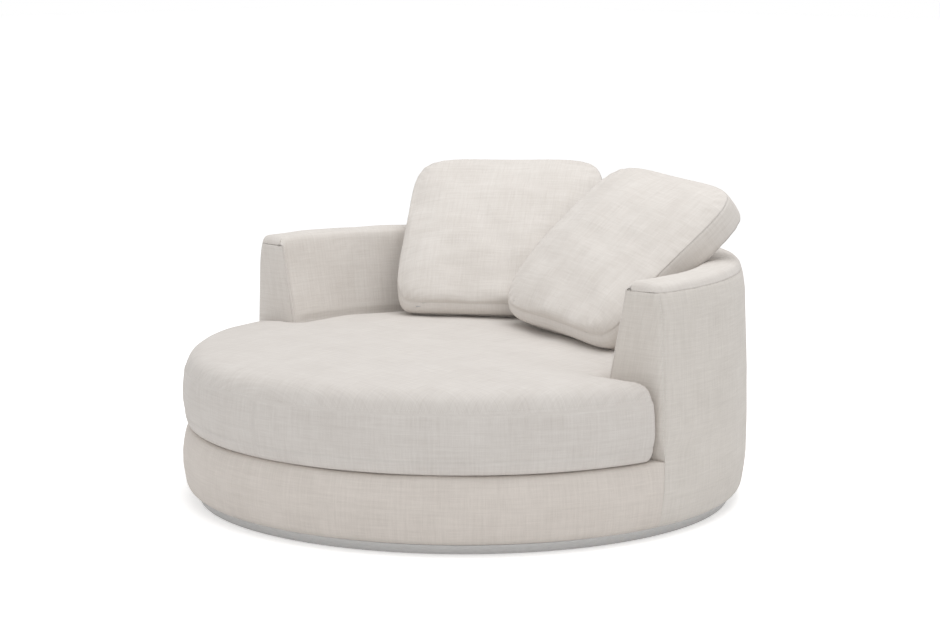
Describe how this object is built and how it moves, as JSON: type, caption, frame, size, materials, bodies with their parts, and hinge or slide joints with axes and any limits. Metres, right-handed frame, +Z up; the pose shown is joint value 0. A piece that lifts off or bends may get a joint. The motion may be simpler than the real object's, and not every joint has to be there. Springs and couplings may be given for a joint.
{
  "type": "swivel cuddle chair",
  "caption": "Round upholstered swivel chair with a wrap-around padded back, one round boxed seat cushion and two square scatter cushions on a low steel-banded plinth.",
  "frame": {"origin": "on the floor, on the swivel axis, under the middle of the plinth", "axes": "+Z up, -Y the way the sitter faces, +X to the sitter's left"},
  "size_m": [1.452, 1.4518, 0.8329],
  "materials": {
    "cloth": "off-white slubby weave",
    "cloth_outside": "off-white slubby weave",
    "cloth_base": "off-white slubby weave",
    "felt": "pressed felt",
    "deck_cloth": "plain woven platform cloth over felt",
    "webbing": "woven webbing",
    "zip_tape": "woven zip tape",
    "foam": "open-cell cushion foam",
    "filling": "fibre-filled cambric inner",
    "plywood": "raw plywood",
    "hardwood": "planed hardwood",
    "band_steel": "brushed",
    "plate_steel": "black powder coat",
    "bright_steel": "ground",
    "cage_plastic": "moulded nylon",
    "zip_metal": "satin"
  },
  "bodies": {
    "plinth": {"floor_glides": "felt", "plinth_board": "plywood", "plinth_band": "band_steel", "lower_swivel_plate": "plate_steel", "lower_plate_screws": "bright_steel", "pivot_washer": "bright_steel", "pivot_nut": "bright_steel"},
    "roller_ring": {"roller_cage": "cage_plastic", "swivel_rollers": "bright_steel"},
    "chair": {"upper_swivel_plate": "plate_steel", "upper_plate_screws": "bright_steel", "base_board": "plywood", "front_rail": "plywood", "bottom_rail": "plywood", "top_rail": "plywood", "back_ribs": "plywood", "back_outer_panel": "plywood", "back_inner_panel": "plywood", "left_arm_end_board": "plywood", "right_arm_end_board": "plywood", "seat_ring": "plywood", "seat_joists_long": "hardwood", "seat_joists_cross": "hardwood", "webbing_long": "webbing", "webbing_cross": "webbing", "seat_deck": "deck_cloth", "base_front_pad": "cloth_base", "outside_back_pad": "cloth_outside", "inside_back_pad": "cloth", "top_band_pad": "cloth", "left_arm_front_pad": "cloth", "right_arm_front_pad": "cloth"},
    "seat_cushion": {"seat_cushion_cover": "cloth", "seat_cushion_core": "foam", "seat_zip_tape": "zip_tape"},
    "seat_zip": {"seat_zip_slider": "zip_metal"},
    "left_scatter": {"left_scatter_cover": "cloth", "left_scatter_insert": "filling", "left_scatter_zip_tape": "zip_tape"},
    "left_scatter_zip": {"left_scatter_zip_slider": "zip_metal"},
    "right_scatter": {"right_scatter_cover": "cloth", "right_scatter_insert": "filling", "right_scatter_zip_tape": "zip_tape"},
    "right_scatter_zip": {"right_scatter_zip_slider": "zip_metal"}
  },
  "joints": [
    {"name": "chair_swivel", "type": "hinge", "parent": "plinth", "child": "chair", "pos_m": [0, 0, 0.03], "axis": [0, 0, 1], "continuous": true},
    {"name": "roller_ring_turn", "type": "hinge", "parent": "plinth", "child": "roller_ring", "pos_m": [0, 0, 0.03], "axis": [0, 0, 1], "continuous": true},
    {"name": "seat_cushion_lift", "type": "slide", "parent": "chair", "child": "seat_cushion", "axis": [0, 0, 1], "range_m": [0, 0.45]},
    {"name": "seat_zip_run", "type": "hinge", "parent": "seat_cushion", "child": "seat_zip", "pos_m": [0, 0, 0.262], "axis": [0, 0, 1], "range_deg": [0, 106]},
    {"name": "left_scatter_lift", "type": "slide", "parent": "seat_cushion", "child": "left_scatter", "axis": [-0.358, 0.5729, 0.7373], "range_m": [0, 0.45]},
    {"name": "left_scatter_zip_run", "type": "slide", "parent": "left_scatter", "child": "left_scatter_zip", "axis": [0.8483, 0.5291, 0.0208], "range_m": [0, 0.355]},
    {"name": "right_scatter_lift", "type": "slide", "parent": "seat_cushion", "child": "right_scatter", "axis": [0, 0, 1], "range_m": [0, 0.45]},
    {"name": "right_scatter_zip_run", "type": "slide", "parent": "right_scatter", "child": "right_scatter_zip", "axis": [0.9478, -0.3055, -0.0911], "range_m": [0, 0.355]}
  ],
  "couplings": [
    {"joint": "roller_ring_turn", "follows": "chair_swivel", "ratio": 0.5}
  ]
}
